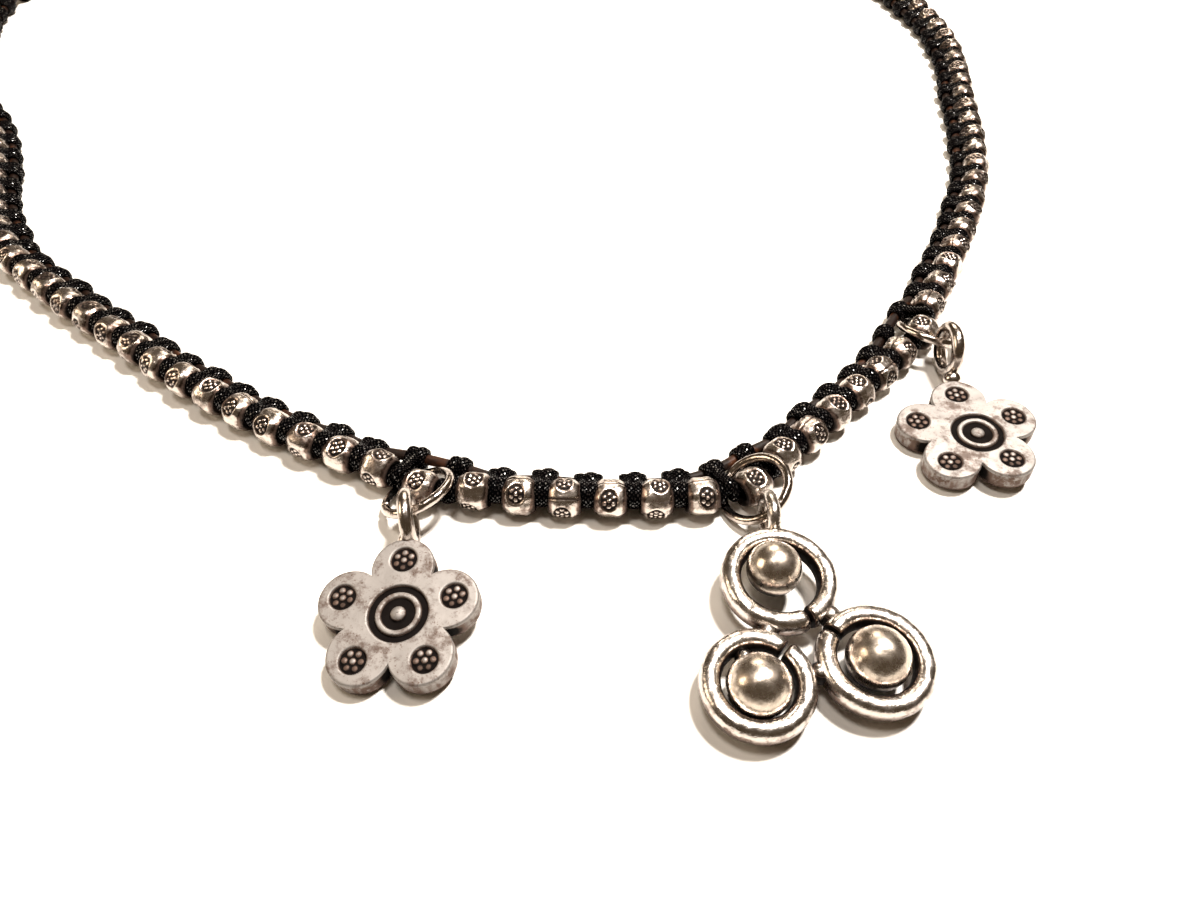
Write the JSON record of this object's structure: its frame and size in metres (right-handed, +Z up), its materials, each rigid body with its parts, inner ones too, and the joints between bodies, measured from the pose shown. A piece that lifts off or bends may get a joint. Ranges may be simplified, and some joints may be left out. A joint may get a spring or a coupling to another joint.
{
  "type": "charm necklace",
  "caption": "Charm necklace of stamped silver barrel beads on black waxed cord, lashed beside a thin leather core, with two flower charms and a three-ring charm on jump rings.",
  "frame": {"origin": "On the surface the necklace lies on, under the middle of its bounding box", "axes": "+Z up from the surface; +X to the right and +Y towards the clasp, with the charms at the -Y side of the loop"},
  "size_m": [0.159, 0.1836, 0.0058],
  "materials": {
    "bead_silver": "worn polish with dark patina in the stamps",
    "wire_silver": "polished",
    "charm_silver": "worn satin with dark patina in the stamps",
    "leather": "smooth",
    "waxed_cord": "waxed"
  },
  "bodies": {
    "root": {"beads_01": "bead_silver", "beads_02": "bead_silver", "beads_03": "bead_silver", "beads_04": "bead_silver", "beads_05": "bead_silver", "beads_06": "bead_silver", "beads_07": "bead_silver", "beads_08": "bead_silver", "beads_09": "bead_silver", "beads_10": "bead_silver", "beads_11": "bead_silver", "beads_12": "bead_silver", "beads_13": "bead_silver", "beads_14": "bead_silver", "beads_15": "bead_silver", "beads_16": "bead_silver", "beads_17": "bead_silver", "beads_18": "bead_silver", "beads_19": "bead_silver", "beads_20": "bead_silver", "lashed_core_01": "leather", "lashed_core_02": "leather", "lashed_core_03": "leather", "lashed_core_04": "leather", "lashed_core_05": "leather", "lashed_core_06": "leather", "lashed_core_07": "leather", "lashed_core_08": "leather", "lashed_core_09": "leather", "lashed_core_10": "leather", "lashed_core_11": "leather", "lashed_core_12": "leather", "lashed_core_13": "leather", "lashed_core_14": "leather", "lashed_core_15": "leather", "lashed_core_16": "leather", "lashed_core_17": "leather", "lashed_core_18": "leather", "lashed_core_19": "leather", "lashed_core_20": "leather", "jump_ring_left": "wire_silver", "jump_ring_centre": "wire_silver", "jump_ring_right": "wire_silver", "flower_charm_left": "charm_silver", "three_ring_charm": "charm_silver", "flower_charm_right": "charm_silver", "back_cord_right": "waxed_cord", "back_cord_left": "waxed_cord", "clasp": "wire_silver"}
  },
  "joints": []
}
